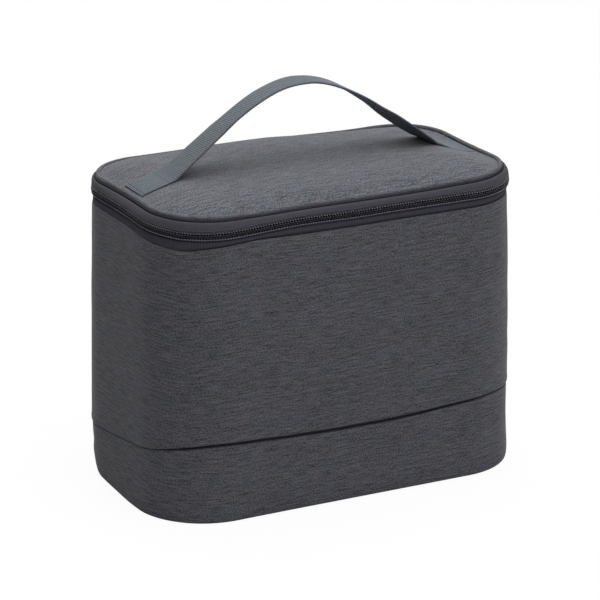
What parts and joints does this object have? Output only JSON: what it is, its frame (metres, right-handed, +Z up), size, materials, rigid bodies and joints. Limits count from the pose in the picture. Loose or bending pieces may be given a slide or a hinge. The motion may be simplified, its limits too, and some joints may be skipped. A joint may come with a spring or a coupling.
{
  "type": "cooler bag",
  "caption": "Soft insulated cooler bag: padded box of heather-grey fabric with a zipped, back-hinged lid and a webbing carry handle on top.",
  "frame": {"origin": "middle of the flat underside of the bottom panel, where the bag stands", "axes": "+X to the right along the wide face, -Y out of the front, +Y towards the lid's hinge at the back, +Z up"},
  "size_m": [0.2584, 0.1488, 0.2498],
  "materials": {
    "heather_fabric": "woven charcoal melange polyester",
    "webbing": "ribbed grey-blue webbing",
    "trim_fabric": "smooth dark binding cloth",
    "zip_tape": "fine woven zip tape",
    "zip_coil": "black nylon coil",
    "foam": "closed-cell insulating foam",
    "liner": "crinkled foil-faced film",
    "base_board": "plain plastic board",
    "slider_metal": "gunmetal plating"
  },
  "bodies": {
    "bag": {"upper_shell": "heather_fabric", "lower_band": "heather_fabric", "bottom_panel": "heather_fabric", "base_board": "base_board", "base_foam": "foam", "base_liner": "liner", "wall_foam": "foam", "wall_liner": "liner", "mouth_binding": "trim_fabric", "zip_tape_body": "zip_tape", "zip_coil_body": "zip_coil", "hinge_fabric_body": "trim_fabric"},
    "lid": {"zip_tape_lid": "zip_tape", "zip_coil_lid": "zip_coil", "hinge_fabric_lid": "trim_fabric", "lid_band": "trim_fabric", "lid_edge_bead": "heather_fabric", "lid_binding": "trim_fabric", "lid_top_panel": "heather_fabric", "lid_foam": "foam", "lid_liner": "liner", "handle_end_left": "webbing", "handle_end_right": "webbing"},
    "handle": {"handle_strap": "webbing"},
    "front_slider": {"front_slider_body": "slider_metal", "front_slider_bail": "slider_metal"},
    "rear_slider": {"rear_slider_body": "slider_metal", "rear_slider_bail": "slider_metal"},
    "front_pull": {"front_pull_tab": "slider_metal"},
    "rear_pull": {"rear_pull_tab": "slider_metal"}
  },
  "joints": [
    {"name": "lid_hinge", "type": "hinge", "parent": "bag", "child": "lid", "pos_m": [0, 0.0746, 0.1834], "axis": [-1, 0, 0], "range_deg": [0, 180]},
    {"name": "handle_swing", "type": "hinge", "parent": "lid", "child": "handle", "pos_m": [0, 0, 0.2142], "axis": [1, 0, 0], "range_deg": [-60, 60], "stiffness_Nm_per_rad": 0.02},
    {"name": "front_slider_run", "type": "slide", "parent": "bag", "child": "front_slider", "axis": [0, -1, 0], "range_m": [0, 0.018]},
    {"name": "rear_slider_run", "type": "slide", "parent": "bag", "child": "rear_slider", "axis": [0, 1, 0], "range_m": [0, 0.018]},
    {"name": "front_pull_swing", "type": "hinge", "parent": "front_slider", "child": "front_pull", "pos_m": [0.1303, -0.006, 0.1834], "axis": [0, -1, 0], "range_deg": [-10, 150]},
    {"name": "rear_pull_swing", "type": "hinge", "parent": "rear_slider", "child": "rear_pull", "pos_m": [0.1303, 0.006, 0.1834], "axis": [0, -1, 0], "range_deg": [-10, 150]}
  ]
}
